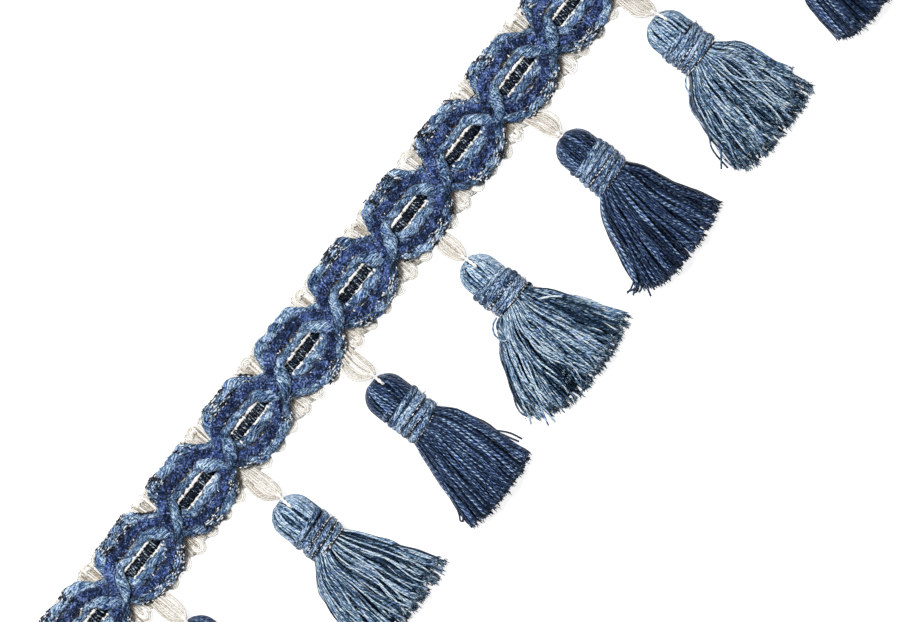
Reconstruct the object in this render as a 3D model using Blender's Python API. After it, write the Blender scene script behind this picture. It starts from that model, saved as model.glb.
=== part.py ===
"""Tassel fringe trim, a cut length lying face up on a table.

A cream woven heading carries a chain of two bands that wave from edge to edge and cross between the rings.
A dark cord runs down the middle under the crossings, and seven tassels hang from thread loops.
X runs along the trim, the tassels point to -Y, and the heading's flat back lies in the plane Z = 0.
Every size is in millimetres and becomes metres where its mesh is made.
"""
import math
from collections import namedtuple

import bpy
import bmesh

MM = 0.001

# Driving sizes
TASSEL_PITCH = 40.0
TASSELS = 7
RING_PITCH = TASSEL_PITCH * 4 / 7
RINGS = 13
LENGTH = RINGS * RING_PITCH
GAP = 0.3

# Heading, with the corners from one picot's middle to the next as shares of their pitch and rise
GROUND_THICK = 1.2
GROUND_HALF = 10.8
PICOT_RISE = 0.9
PICOTS_PER_RING = 4
PICOT_SHAPE = ((0.0, 0.9), (0.22, 0.9), (0.5, 0.0), (0.78, 0.9))

# Bands of the chain: two pale yarns with a navy one between them, as three ridges
BAND_AXIS = -0.5
BAND_REACH = 6.5
BAND_WIDTH = 7.9
BAND_PINCH = 0.18
BAND_STEPS = 8
WAVE_FLAT = 0.1
NAVY_SHARE = 0.39
EDGE_HEIGHT = 0.9
VALLEY_HEIGHT = 1.3
PALE_HEIGHT = 2.0
NAVY_HEIGHT = 2.2
CROSSING_SQUEEZE = 0.82
CROSSING_FLAT = 3.5
CROSSING_FADE = 9.5
PLUMB_RUN = 8.0

# Cord down the middle: tall inside a ring, flat under a crossing
CORD_HALF = 1.3
CORD_TALL = 1.4
CORD_FLAT = 0.6
CORD_TALL_HALF = 4.9
CORD_FLAT_FROM = 5.9
CORD_SECTION = ((-1, 0), (1, 0), (1, 0.75), (0.5, 1), (-0.5, 1), (-1, 0.75))

# Head, neck and wrap of a tassel, with depths measured from the heading's middle towards -Y
AXIS_HEIGHT = 5.6
HEAD_TOP = 19.3
HEAD_DOME = 4.2
HEAD_RADIUS = 5.85
DOME_ANGLES = (22, 45, 68, 90)
WRAP_TOP = 27.1
WRAP_END = 37.1
WRAP_RIDGES = 5
WRAP_CREST = 6.35
WRAP_VALLEY = 5.75
WRAP_INNER = 5.3
WRAP_SIDES = 12
NECK_RADIUS = 4.8
WELD = 0.01

# Skirt: a grid of strands that fans out from the neck's end into a dome that lies flat
COLUMNS = 12
ROWS = 3
ROOT_RADIUS = 5.6
ROOT_DEPTH = WRAP_END + 0.8
ROOT_SPAN = 0.94
SKIRT_DOME = 0.7
TIP_ARCH_LEFT = 5.0
TIP_ARCH_RIGHT = 2.2
TIP_UNEVEN = 0.5
SkirtRing = namedtuple("SkirtRing", "depth height fill sway")
SKIRT_RINGS = (
    SkirtRing(40.8, 11.0, 0.86, 0.0),
    SkirtRing(50.0, 10.4, 0.82, 0.12),
    SkirtRing(65.2, 8.8, 0.78, 0.16),
)

# How far each skirt reaches to the left and right of its axis, at its three rings
Skirt = namedtuple("Skirt", "tone top middle tips")
SKIRTS = (
    Skirt("navy", (9.0, 7.0), (14.0, 10.0), (18.0, 13.0)),
    Skirt("pale", (10.9, 6.4), (15.0, 10.0), (17.5, 14.0)),
    Skirt("navy", (7.0, 8.0), (10.0, 10.0), (14.0, 12.2)),
    Skirt("pale", (11.0, 6.6), (17.5, 9.8), (21.5, 14.6)),
    Skirt("navy", (10.0, 7.4), (15.0, 9.3), (20.8, 12.6)),
    Skirt("pale", (10.4, 9.0), (15.5, 11.5), (18.6, 13.2)),
    Skirt("navy", (8.0, 7.0), (11.8, 10.0), (14.6, 13.0)),
)

# Loop that carries a tassel: its width, thickness and underside height at each share of its length
LOOP_SIDES = 8
LOOP_SPREAD = 2.3
LoopStep = namedtuple("LoopStep", "share wide thick under")
LOOP_STEPS = (
    LoopStep(0.00, 4.2, 1.3, 1.5),
    LoopStep(0.22, 5.6, 2.2, 1.6),
    LoopStep(0.48, 6.0, 2.6, 2.3),
    LoopStep(0.72, 4.8, 2.6, 3.3),
    LoopStep(0.90, 2.6, 1.9, 4.4),
    LoopStep(1.00, 1.0, 1.0, 5.1),
)

COLOURS = {
    "cream": (0.82, 0.78, 0.69),
    "pale": (0.12, 0.20, 0.33),
    "denim": (0.10, 0.17, 0.29),
    "navy": (0.022, 0.035, 0.085),
    "chenille": (0.024, 0.048, 0.21),
    "ink": (0.006, 0.009, 0.022),
}


def clear_scene():
    """Removes whatever the scene holds, so that the model starts from nothing."""
    for obj in list(bpy.data.objects):
        bpy.data.objects.remove(obj, do_unlink=True)


def yarn_material(name, colour):
    """A matt yarn in one of the trim's colours."""
    material = bpy.data.materials.new(name)
    material.use_nodes = True
    shader = material.node_tree.nodes["Principled BSDF"]
    shader.inputs["Base Color"].default_value = (*COLOURS[colour], 1.0)
    shader.inputs["Roughness"].default_value = 0.9
    shader.inputs["Metallic"].default_value = 0.0
    return material


def new_object(name, bm, colours, crease_angle=50):
    """Turns a mesh in millimetres into an object in metres, with one material for each colour named."""
    bmesh.ops.scale(bm, vec=(MM, MM, MM), verts=bm.verts)
    bmesh.ops.recalc_face_normals(bm, faces=bm.faces)
    mesh = bpy.data.meshes.new(name)
    bm.to_mesh(mesh)
    bm.free()
    mesh.shade_smooth()
    mesh.set_sharp_from_angle(angle=math.radians(crease_angle))
    for colour in colours:
        mesh.materials.append(yarn_material(f"{name}_{colour}", colour))
    obj = bpy.data.objects.new(name, mesh)
    bpy.context.collection.objects.link(obj)
    return obj


def join_rings(bm, rings):
    """Joins each ring of points to the next with a strip of quads, and gives back the rings' vertices."""
    loops = [[bm.verts.new(point) for point in ring] for ring in rings]
    count = len(loops[0])
    for near, far in zip(loops, loops[1:]):
        for i in range(count):
            j = (i + 1) % count
            bm.faces.new((near[i], near[j], far[j], far[i]))
    return loops


def swept_body(rings):
    """A closed body through a row of rings, with a flat face at each end."""
    bm = bmesh.new()
    loops = join_rings(bm, rings)
    bm.faces.new(loops[0])
    bm.faces.new(loops[-1])
    return bm


def add_ground():
    """The woven heading: a flat strip whose long edges are scalloped by picots."""
    pitch = RING_PITCH / PICOTS_PER_RING
    count = RINGS * PICOTS_PER_RING
    corners = [(i + place, rise) for i in range(count) for place, rise in PICOT_SHAPE]
    corners.append((count, PICOT_SHAPE[0][1]))
    rings = []
    for place, rise in corners:
        x = place * pitch - LENGTH / 2
        edge = GROUND_HALF + PICOT_RISE * rise
        rings.append([(x, -edge, 0), (x, edge, 0), (x, edge, GROUND_THICK), (x, -edge, GROUND_THICK)])
    new_object("ground", swept_body(rings), ["cream"], crease_angle=30)


def add_centre_cord():
    """The dark cord: a bar inside each ring, pressed flat where the bands cross over it."""
    places = [(-LENGTH / 2, CORD_FLAT)]
    for ring in range(RINGS):
        middle = (ring + 0.5) * RING_PITCH - LENGTH / 2
        places.append((middle - CORD_FLAT_FROM, CORD_FLAT))
        places.append((middle - CORD_TALL_HALF, CORD_TALL))
        places.append((middle + CORD_TALL_HALF, CORD_TALL))
        places.append((middle + CORD_FLAT_FROM, CORD_FLAT))
    places.append((LENGTH / 2, CORD_FLAT))
    rest = GROUND_THICK + GAP
    rings = []
    for x, tall in places:
        rings.append([(x, BAND_AXIS + u * CORD_HALF, rest + h * tall) for u, h in CORD_SECTION])
    new_object("centre_cord", swept_body(rings), ["ink"])


def wave(x):
    """The bands' shape at x: 1 at the top of one ring and -1 at the top of the next, flat on both."""
    turn = math.pi * x / RING_PITCH
    return (math.cos(turn) - WAVE_FLAT * math.cos(3 * turn)) / (1 - WAVE_FLAT)


def wave_slope(x):
    """How much the wave changes for each millimetre of x."""
    turn = math.pi * x / RING_PITCH
    rate = -math.sin(turn) + 3 * WAVE_FLAT * math.sin(3 * turn)
    return rate * math.pi / RING_PITCH / (1 - WAVE_FLAT)


def band_width(x):
    """The band is pinched a little where the chain is narrow."""
    return BAND_WIDTH * (1 - BAND_PINCH * (1 - wave(x) ** 2))


def band_lift(x, side):
    """The height of a band's underside at x, and how much the band is squeezed there.

    It climbs over the cord at each crossing, and over the other band where it rises towards +Y along +X.
    """
    crossing = math.floor(x / RING_PITCH)
    away = abs(x - (crossing + 0.5) * RING_PITCH)
    fade = min(max((away - CROSSING_FLAT) / (CROSSING_FADE - CROSSING_FLAT), 0), 1)
    near = 1 - fade * fade * (3 - 2 * fade)
    rest = GROUND_THICK + GAP
    over_cord = rest + CORD_FLAT + GAP
    over_band = over_cord + NAVY_HEIGHT * CROSSING_SQUEEZE + GAP
    is_rising = (crossing % 2 == 0) == (side < 0)
    top = over_band if is_rising else over_cord
    return rest + (top - rest) * near, 1 - (1 - CROSSING_SQUEEZE) * near


def band_ring(x, side):
    """The band's section at x: flat below, three ridges above, square to its run, plumb at the cut ends."""
    slope = side * BAND_REACH * wave_slope(x)
    length = math.hypot(1, slope)
    plumb = max(1 - (LENGTH / 2 - abs(x)) / PLUMB_RUN, 0)
    back = slope / length * (1 - plumb)
    across = (1 - plumb) / length + plumb * length
    half = band_width(x) / 2
    valley = half * NAVY_SHARE
    crest = (half + valley) / 2
    section = (
        (-half, 0), (half, 0),
        (half, EDGE_HEIGHT), (crest, PALE_HEIGHT), (valley, VALLEY_HEIGHT), (0, NAVY_HEIGHT),
        (-valley, VALLEY_HEIGHT), (-crest, PALE_HEIGHT), (-half, EDGE_HEIGHT),
    )
    under, squeeze = band_lift(x, side)
    y = BAND_AXIS + side * BAND_REACH * wave(x)
    return [(x - u * back, y + u * across, under + h * squeeze) for u, h in section]


def add_bands():
    """The chain: two bands in opposite waves, each over the other at every second crossing."""
    steps = RINGS * BAND_STEPS
    places = [LENGTH * (i / steps - 0.5) for i in range(steps + 1)]
    navy_strips = (4, 5)
    for name, side in (("band_a", 1), ("band_b", -1)):
        rings = [band_ring(x, side) for x in places]
        sides = len(rings[0])
        bm = swept_body(rings)
        for i, face in enumerate(bm.faces):
            is_strip = i < steps * sides
            face.material_index = int(is_strip and i % sides in navy_strips)
        new_object(name, bm, ["denim", "chenille"], crease_angle=60)


def chain_edge(x):
    """How deep the chain's lower edge lies at x."""
    lean = math.hypot(1, BAND_REACH * wave_slope(x))
    return BAND_REACH * abs(wave(x)) + band_width(x) / 2 * lean - BAND_AXIS


def add_loop(name, x):
    """A petal of cream threads from the chain's lower edge to the tassel's head, drawn in to a thin tie."""
    spread = [LOOP_SPREAD * i / 2 for i in range(-2, 3)]
    start = GAP + max(chain_edge(x + shift) for shift in spread)
    end = HEAD_TOP - GAP
    turns = [math.tau * (i + 0.5) / LOOP_SIDES for i in range(LOOP_SIDES)]
    rings = []
    for step in LOOP_STEPS:
        y = -(start + (end - start) * step.share)
        middle = step.under + step.thick / 2
        half = step.wide / 2, step.thick / 2
        rings.append([(x + half[0] * math.cos(t), y, middle + half[1] * math.sin(t)) for t in turns])
    new_object(name, swept_body(rings), ["cream"])


def lying_point(x, depth, radius, turn):
    """A point of a round piece that lies on the table, pressed flat where it touches."""
    height = AXIS_HEIGHT + radius * math.sin(turn)
    return (x + radius * math.cos(turn), -depth, max(height, 0))


def add_wrap(name, x):
    """The yarn wound round the neck: a sleeve with a ridge for every turn or two, flat where it lies."""
    profile = []
    for i in range(2 * WRAP_RIDGES + 1):
        depth = WRAP_TOP + (WRAP_END - WRAP_TOP) * i / (2 * WRAP_RIDGES)
        profile.append((depth, WRAP_CREST if i % 2 else WRAP_VALLEY))
    profile += [(WRAP_END, WRAP_INNER), (WRAP_TOP, WRAP_INNER)]
    turns = [math.tau * (i + 0.5) / WRAP_SIDES for i in range(WRAP_SIDES)]
    rings = [[lying_point(x, depth, radius, t) for t in turns] for depth, radius in profile + profile[:1]]
    bm = bmesh.new()
    join_rings(bm, rings)
    bmesh.ops.remove_doubles(bm, verts=bm.verts, dist=WELD)
    new_object(name, bm, ["pale"])


def round_corner(radius, column, row):
    """Where a corner of the strands' grid lies across a round neck, and how far above the axis."""
    across = ROOT_SPAN * radius * (2 * column / COLUMNS - 1)
    half = math.sqrt(radius ** 2 - across ** 2)
    return across, half * (2 * row / ROWS - 1)


def rim_corners():
    """The corners round the grid's rim, in order."""
    lower = [(c, 0) for c in range(COLUMNS)]
    right = [(COLUMNS, r) for r in range(ROWS)]
    upper = [(c, ROWS) for c in range(COLUMNS, 0, -1)]
    left = [(0, r) for r in range(ROWS, 0, -1)]
    return lower + right + upper + left


def strand_corner(ring, reach, column, row, side, number):
    """A corner of one strand in the skirt: how far across it lies, and how high."""
    left, right = reach
    margin = (1 - ring.fill) / 2
    along = column + (1 - margin if side[0] else margin)
    share = 2 * along / COLUMNS - 1
    across = (right - left) / 2 + (right + left) / 2 * share
    rise = row + (1 - margin if side[1] else margin * (row > 0))
    height = ring.height * math.sqrt(1 - SKIRT_DOME * share ** 2) * rise / ROWS
    return across + ring.sway * math.sin(1.7 * column + 2.3 * row + number), height


def tip_depth(column, row, number):
    """Where a strand is cut: the ends form a shallow arch, a little uneven."""
    share = 2 * (column + 0.5) / COLUMNS - 1
    arch = TIP_ARCH_LEFT * max(-share, 0) ** 3 + TIP_ARCH_RIGHT * max(share, 0) ** 3
    return SKIRT_RINGS[-1].depth - arch + TIP_UNEVEN * math.sin(2.1 * column + 1.3 * row + number)


def add_head(bm, x, rim):
    """The round head and the neck, and the vertices round the neck's end."""
    turns = []
    for column, row in rim[::2]:
        across, above = round_corner(1.0, column, row)
        turns.append(math.atan2(above, across))
    steps = []
    for angle in DOME_ANGLES:
        bend = math.radians(angle)
        steps.append((HEAD_TOP + HEAD_DOME * (1 - math.cos(bend)), HEAD_RADIUS * math.sin(bend)))
    steps.append((WRAP_TOP - GAP, HEAD_RADIUS))
    steps.append((WRAP_TOP, NECK_RADIUS))
    steps.append((WRAP_END + GAP, NECK_RADIUS))
    loops = join_rings(bm, [[lying_point(x, depth, radius, t) for t in turns] for depth, radius in steps])
    pole = bm.verts.new((x, -HEAD_TOP, AXIS_HEIGHT))
    for i, vert in enumerate(loops[0]):
        bm.faces.new((pole, vert, loops[0][i - 1]))
    return loops[-1]


def add_roots(bm, x, rim, neck):
    """The corners of the strands' grid, joined to the neck, which has half as many sides."""
    corners = {}
    for column in range(COLUMNS + 1):
        for row in range(ROWS + 1):
            across, above = round_corner(ROOT_RADIUS, column, row)
            corners[column, row] = bm.verts.new((x + across, -ROOT_DEPTH, max(AXIS_HEIGHT + above, 0)))
    for i, vert in enumerate(neck):
        following = neck[(i + 1) % len(neck)]
        first, between, last = (corners[rim[k % len(rim)]] for k in (2 * i, 2 * i + 1, 2 * i + 2))
        bm.faces.new((vert, first, between))
        bm.faces.new((vert, between, following))
        bm.faces.new((following, between, last))
    return corners


def add_tassel(name, x, skirt, number):
    """A folded hank: a round head and neck in one piece, split below the wrap into strands."""
    bm = bmesh.new()
    rim = rim_corners()
    corners = add_roots(bm, x, rim, add_head(bm, x, rim))
    sides = ((0, 0), (1, 0), (1, 1), (0, 1))
    for column in range(COLUMNS):
        for row in range(ROWS):
            above = [corners[column + side[0], row + side[1]] for side in sides]
            for ring, reach in zip(SKIRT_RINGS, (skirt.top, skirt.middle, skirt.tips)):
                depth = tip_depth(column, row, number) if ring is SKIRT_RINGS[-1] else ring.depth
                below = []
                for side in sides:
                    across, height = strand_corner(ring, reach, column, row, side, number)
                    below.append(bm.verts.new((x + across, -depth, height)))
                for i in range(4):
                    bm.faces.new((above[i - 1], above[i], below[i], below[i - 1]))
                above = below
            bm.faces.new(above)
    new_object(name, bm, [skirt.tone], crease_angle=40)


def main():
    """Builds the whole length."""
    clear_scene()
    add_ground()
    add_centre_cord()
    add_bands()
    for number, skirt in enumerate(SKIRTS):
        x = (number - (TASSELS - 1) / 2) * TASSEL_PITCH
        add_loop(f"loop_{number}", x)
        add_wrap(f"wrap_{number}", x)
        add_tassel(f"tassel_{number}", x, skirt, number)


main()
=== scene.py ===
import math

import bpy
import numpy as np
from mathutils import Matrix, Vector


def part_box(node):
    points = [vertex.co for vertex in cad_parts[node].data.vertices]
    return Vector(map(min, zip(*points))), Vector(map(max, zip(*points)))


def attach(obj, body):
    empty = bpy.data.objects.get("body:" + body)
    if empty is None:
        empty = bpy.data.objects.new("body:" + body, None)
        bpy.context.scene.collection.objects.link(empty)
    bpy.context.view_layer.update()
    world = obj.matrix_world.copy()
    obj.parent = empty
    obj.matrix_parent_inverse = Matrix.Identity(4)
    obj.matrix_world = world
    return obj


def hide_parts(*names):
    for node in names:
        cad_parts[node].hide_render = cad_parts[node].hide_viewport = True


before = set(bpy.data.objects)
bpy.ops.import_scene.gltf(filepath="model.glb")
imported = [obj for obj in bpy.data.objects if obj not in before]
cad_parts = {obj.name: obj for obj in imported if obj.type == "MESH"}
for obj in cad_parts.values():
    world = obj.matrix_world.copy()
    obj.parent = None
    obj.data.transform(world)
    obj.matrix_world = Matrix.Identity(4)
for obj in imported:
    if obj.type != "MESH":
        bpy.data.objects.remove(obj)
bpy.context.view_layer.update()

scene = bpy.context.scene

# Camera: straight above the trim, as in the photograph.
# The trim climbs from the lower left to the upper right, and the picture's 900 pixels take in 236 mm.
PIXEL = 0.000262
PICTURE_WIDTH = 900
LENS = 120.0
SENSOR = 36.0
TRIM_TURN = math.radians(-52.25)
AIM = (-0.0127, -0.0243, 0.004)
camera = bpy.data.objects.new("camera", bpy.data.cameras.new("camera"))
camera.data.lens = LENS
camera.data.sensor_width = SENSOR
camera.location = (AIM[0], AIM[1], AIM[2] + PICTURE_WIDTH * PIXEL * LENS / SENSOR)
camera.rotation_euler = (0.0, 0.0, TRIM_TURN)
scene.collection.objects.link(camera)
scene.camera = camera

# Studio: a white table that glows, as a light table does, a pale room and one soft panel.
# The panel hangs high above the heading's far side, so each thread shines along its crest and
# shades the next.
scene.view_settings.view_transform = "Standard"
ROOM_LIGHT = 0.27
ROOM_COLOUR = (0.97, 0.98, 1.0, 1.0)
PANEL_SIZE = 0.20
PANEL_POWER = 7.6
PANEL_PLACE = (-0.10, 0.30, 0.82)
TABLE_HALF = 3.0
TABLE_WHITE = (0.55, 0.55, 0.55, 1.0)
TABLE_LIGHT = (1.0, 1.0, 1.0, 1.0)
TABLE_ROUGHNESS = 0.95
TABLE_GLOW = 0.80
world = bpy.data.worlds.new("pale_room")
world.use_nodes = True
world.node_tree.nodes["Background"].inputs["Color"].default_value = ROOM_COLOUR
world.node_tree.nodes["Background"].inputs["Strength"].default_value = ROOM_LIGHT
scene.world = world
panel = bpy.data.objects.new("panel", bpy.data.lights.new("panel", "AREA"))
panel.data.size = PANEL_SIZE
panel.data.energy = PANEL_POWER
panel.location = PANEL_PLACE
panel.rotation_euler = (Vector(AIM) - panel.location).to_track_quat("-Z", "Y").to_euler()
scene.collection.objects.link(panel)

table_corners = [(-TABLE_HALF, -TABLE_HALF, 0), (TABLE_HALF, -TABLE_HALF, 0),
                 (TABLE_HALF, TABLE_HALF, 0), (-TABLE_HALF, TABLE_HALF, 0)]
table_mesh = bpy.data.meshes.new("table")
table_mesh.from_pydata(table_corners, [], [(0, 1, 2, 3)])
table = bpy.data.objects.new("table", table_mesh)
scene.collection.objects.link(table)
table_top = bpy.data.materials.new("table_top")
table_top.use_nodes = True
table_shader = table_top.node_tree.nodes["Principled BSDF"]
table_shader.inputs["Base Color"].default_value = TABLE_WHITE
table_shader.inputs["Roughness"].default_value = TABLE_ROUGHNESS
table_shader.inputs["Emission Color"].default_value = TABLE_LIGHT
table_shader.inputs["Emission Strength"].default_value = TABLE_GLOW
table_mesh.materials.append(table_top)

# Heading: a flat woven cotton tape in cream, 297 mm long, that everything else is sewn to.
# Its fine weft ribs run across it, and show in the notches beside the chain.
MM = 0.001
RINGS = 13
ground_low, ground_high = (np.array(corner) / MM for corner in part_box("ground"))
TRIM_LENGTH = ground_high[0] - ground_low[0]
RING = TRIM_LENGTH / RINGS
PICOT = RING / 4
GROUND_TOP = ground_high[2]
WEFT = 0.46
WARP = 0.6
TAPE_HALF = 10.9
TAPE_DIP = 0.9
EDGE_THIN = 0.45
BACK_LIFT = 0.05
CREAM_SHADES = ((0.0, (0.22, 0.17, 0.11)), (0.30, (0.54, 0.48, 0.39)), (0.55, (0.85, 0.82, 0.76)),
                (1.0, (1.0, 0.99, 0.97)))


def points(x, y, z):
    """Points from their x, y and z, which are stretched to one shape."""
    return np.stack(np.broadcast_arrays(x, y, z), -1)


def sewn_piece(name, mesh, finish, replaced=()):
    """Puts a finished mesh in the scene with its material and the nodes that it replaces."""
    mesh.update(calc_edges=True)
    mesh.validate()
    mesh.shade_smooth()
    mesh.materials.append(finish)
    piece = bpy.data.objects.new(name, mesh)
    scene.collection.objects.link(piece)
    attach(piece, "root")
    for node in replaced:
        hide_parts(node)
    return piece


def thread_piece(name, rings, tint, finish, slot, replaced=(), underside_shade=0.0):
    """One mesh of many closed threads, from rings of points in millimetres (threads, steps, sides, 3).

    Each ring is joined to the next by quads, and each end is closed by one face. The UV map holds the share
    of the way round and the distance along in millimetres, from a start of its own for each thread. The
    attribute tint holds the shade, which is given for each thread, or also for each step and side. It falls
    from crest to underside by the amount given: a painted shade, darkest on each thread's underside.
    """
    count, steps, sides, _ = rings.shape
    corner = np.arange(count * steps * sides).reshape(count, steps, sides)
    near, far = corner[:, :-1], corner[:, 1:]
    quads = np.stack([near, np.roll(near, -1, 2), np.roll(far, -1, 2), far], -1).reshape(-1, 4)
    caps = np.concatenate([corner[:, 0, ::-1], corner[:, -1]])
    mesh = bpy.data.meshes.new(name)
    mesh.vertices.add(corner.size)
    mesh.vertices.foreach_set("co", (rings * MM).astype(np.float32).ravel())
    mesh.loops.add(quads.size + caps.size)
    mesh.loops.foreach_set("vertex_index", np.concatenate([quads.ravel(), caps.ravel()]).astype(np.int32))
    mesh.polygons.add(len(quads) + len(caps))
    sizes = np.concatenate([np.full(len(quads), 4), np.full(len(caps), sides)])
    mesh.polygons.foreach_set("loop_start", (np.cumsum(sizes) - sizes).astype(np.int32))

    spans = np.linalg.norm(np.diff(rings.mean(axis=2), axis=1), axis=-1)
    start = np.mod(6.18 * np.arange(count), 10)[:, None]
    along = np.concatenate([start, start + np.cumsum(spans, axis=1)], axis=1)
    side = np.arange(sides)
    u = np.stack([side, side + 1, side + 1, side], -1) / sides
    u = np.broadcast_to(u, (count, steps - 1, sides, 4))
    v = np.stack([along[:, :-1], along[:, :-1], along[:, 1:], along[:, 1:]], -1)[:, :, None]
    quad_uv = np.stack([u, np.broadcast_to(v, u.shape)], -1).reshape(-1, 2)
    cap_ends = np.repeat(np.concatenate([along[:, 0], along[:, -1]]), sides)
    cap_uv = np.stack([np.tile(side / sides, 2 * count), cap_ends], -1)
    thread_map = mesh.uv_layers.new(name="thread")
    thread_map.uv.foreach_set("vector", np.concatenate([quad_uv, cap_uv]).astype(np.float32).ravel())
    shade = np.asarray(tint, dtype=float)
    shade = shade.reshape(shade.shape + (1,) * (3 - shade.ndim))
    # Painted shade: each thread darkens from its crest to its underside.
    under = (1 + np.cos(side * math.tau / sides)) / 2
    shade = np.broadcast_to(shade - underside_shade * under, corner.shape)
    mesh.attributes.new("tint", "FLOAT", "POINT").data.foreach_set("value", shade.astype(np.float32).ravel())
    return sewn_piece(name, mesh, finish, replaced)


def new_finish(name, roughness, sheen=0.0, specular=0.5, gloss=(1.0, 1.0, 1.0)):
    """A material whose shader has these constant values, with its shader and its node tree."""
    finish = bpy.data.materials.new(name)
    finish.use_nodes = True
    shader = finish.node_tree.nodes["Principled BSDF"]
    shader.inputs["Roughness"].default_value = roughness
    shader.inputs["Sheen Weight"].default_value = sheen
    shader.inputs["Specular IOR Level"].default_value = specular
    shader.inputs["Specular Tint"].default_value = (*gloss, 1.0)
    return finish, shader, finish.node_tree


def feed(tree, sockets, values):
    """Sets each socket to its number, or links it to its value where that is another node's output."""
    for socket, value in zip(sockets, values):
        if isinstance(value, (int, float)):
            socket.default_value = value
        else:
            tree.links.new(value, socket)


def calc(tree, operation, *values):
    """The result of one Math node: each value is a number or another node's output."""
    node = tree.nodes.new("ShaderNodeMath")
    node.operation = operation
    feed(tree, node.inputs, values)
    return node.outputs[0]


def noise_value(tree, place, scale):
    """Blender's noise, as a value about 0.5, at a place: a vector, or three outputs or numbers."""
    if isinstance(place, tuple):
        point = tree.nodes.new("ShaderNodeCombineXYZ")
        feed(tree, point.inputs, place)
        place = point.outputs[0]
    noise = tree.nodes.new("ShaderNodeTexNoise")
    feed(tree, (noise.inputs["Vector"], noise.inputs["Scale"]), (place, scale))
    return noise.outputs["Fac"]


def axes(tree, place):
    """The x, y and z of a vector."""
    node = tree.nodes.new("ShaderNodeSeparateXYZ")
    tree.links.new(place, node.inputs[0])
    return node.outputs[:]


def object_place(tree):
    """The place on the object, in metres."""
    return tree.nodes.new("ShaderNodeTexCoord").outputs["Object"]


def shade_ramp(tree, value, shades):
    """A colour ramp with these stops, read at the value."""
    ramp = tree.nodes.new("ShaderNodeValToRGB")
    stops = ramp.color_ramp.elements
    while len(stops) < len(shades):
        stops.new(0.5)
    for stop, (position, colour) in zip(stops, shades):
        stop.position = position
        stop.color = (*colour, 1.0)
    tree.links.new(value, ramp.inputs["Fac"])
    return ramp.outputs["Color"]


def bump_normal(tree, height, relief, shader):
    """Raises the surface by height times the relief in millimetres."""
    bump = tree.nodes.new("ShaderNodeBump")
    bump.inputs["Distance"].default_value = relief * MM
    tree.links.new(height, bump.inputs["Height"])
    tree.links.new(bump.outputs["Normal"], shader.inputs["Normal"])


def tape_finish():
    """Plain woven cotton: warp threads along the tape and weft across it are waves, over uneven noise."""
    finish, shader, tree = new_finish("woven_tape", roughness=0.85, sheen=0.2, specular=0.2)
    x, y = (calc(tree, "DIVIDE", axis, MM) for axis in axes(tree, object_place(tree))[:2])
    warp = calc(tree, "SINE", calc(tree, "MULTIPLY", y, math.tau / WARP))
    weft = calc(tree, "COSINE", calc(tree, "MULTIPLY", x, math.tau / WEFT))
    uneven = noise_value(tree, (x, y, 0.0), 1.6)
    weave = calc(tree, "MULTIPLY_ADD", warp, 0.12, calc(tree, "MULTIPLY", weft, 0.22))
    body = calc(tree, "MULTIPLY_ADD", calc(tree, "SUBTRACT", uneven, 0.5), 2.2, weave)
    colour = shade_ramp(tree, calc(tree, "ADD", body, 0.62), CREAM_SHADES)
    tree.links.new(colour, shader.inputs["Base Color"])
    bump_normal(tree, body, 0.2, shader)
    return finish


def heading_rings():
    """Sections across the tape: a flat back just clear of the table, and a top that thins at the edges.

    The edge swells under each picot: half width = TAPE_HALF - TAPE_DIP * share^3, with share 1 between
    picots. The top is GROUND_TOP * (1 - EDGE_THIN * across^6).
    """
    columns = int(TRIM_LENGTH / WEFT) + 1
    x = np.linspace(ground_low[0], ground_high[0], columns)
    share = 1 - np.abs(np.mod(x / PICOT, 1) - 0.5) * 2
    edge = TAPE_HALF - TAPE_DIP * share ** 3
    across = np.linspace(-1, 1, 11)
    top = GROUND_TOP * (1 - EDGE_THIN * across ** 6) + np.zeros((columns, 1))
    y = np.concatenate([[-0.97, 0.97], across[::-1]])
    z = np.concatenate([np.full((columns, 2), BACK_LIFT), top[:, ::-1]], axis=1)
    return points(x[:, None], edge[:, None] * y, z)[None]


heading = thread_piece("heading", heading_rings(), [0.6], tape_finish(), "heading_cream", ["ground"])

# Picots: loops of cream thread that scallop both edges of the tape, four to a ring of the chain.
# Each is four threads, one inside the other. In the notches, more threads fan out from the tape to them.
CHAIN_SHIFT = 0.6
SPOTS_PER_MM = 2.1
PICOT_THREADS = 4
PICOT_FOOT = 8.9
PICOT_HALF = 2.05
PICOT_NEST = 0.5
PICOT_REST = 0.8
FAN_THREADS = 9
FAN_FOOT = 1.4
NOTCHES = RINGS - 1
EDGES = (
    # side of the tape, how far its picots reach, and its notches' foot, spread and reach
    (1, 10.9, 3.5, 2.6, 10.4),
    (-1, 11.7, 4.5, 3.6, 10.9),
)
UP = np.array([0.0, 0.0, 1.0])
picot_count = 4 * RINGS - 1
rng = np.random.default_rng(11)


def unit(vectors, least=0.0):
    """The vectors, each divided by its length and that least, which is there where a length can be 0."""
    return vectors / (np.linalg.norm(vectors, axis=-1, keepdims=True) + least)


def path_sides(path, outward, least=1e-9):
    """At each step of a path, the outward direction made square to its run, and one square to both."""
    run = unit(np.gradient(path, axis=1))
    out = np.broadcast_to(outward, path.shape)
    out = unit(out - run * (out * run).sum(-1, keepdims=True), least)
    return out, np.cross(run, out)


def tube_rings(path, outward, radius, sides, flat=1.0):
    """Rings of points round each path: at each step radius * (cos a * B * flat + sin a * C).

    B is the outward direction made square to the path, C is square to both, and a goes once round from
    the back. path is (threads, steps, 3) and the rings are (threads, steps, sides, 3). The radius may
    change from thread to thread, from step to step and from side to side.
    """
    out, cross = path_sides(path, outward)
    turn = (math.pi + np.arange(sides) * math.tau / sides)[:, None]
    radius = np.asarray(radius, dtype=float)
    if radius.ndim < 3:
        radius = np.broadcast_to(radius, path.shape[:2])[:, :, None]
    circle = np.cos(turn) * out[:, :, None] * flat + np.sin(turn) * cross[:, :, None]
    return path[:, :, None] + radius[..., None] * circle


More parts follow.
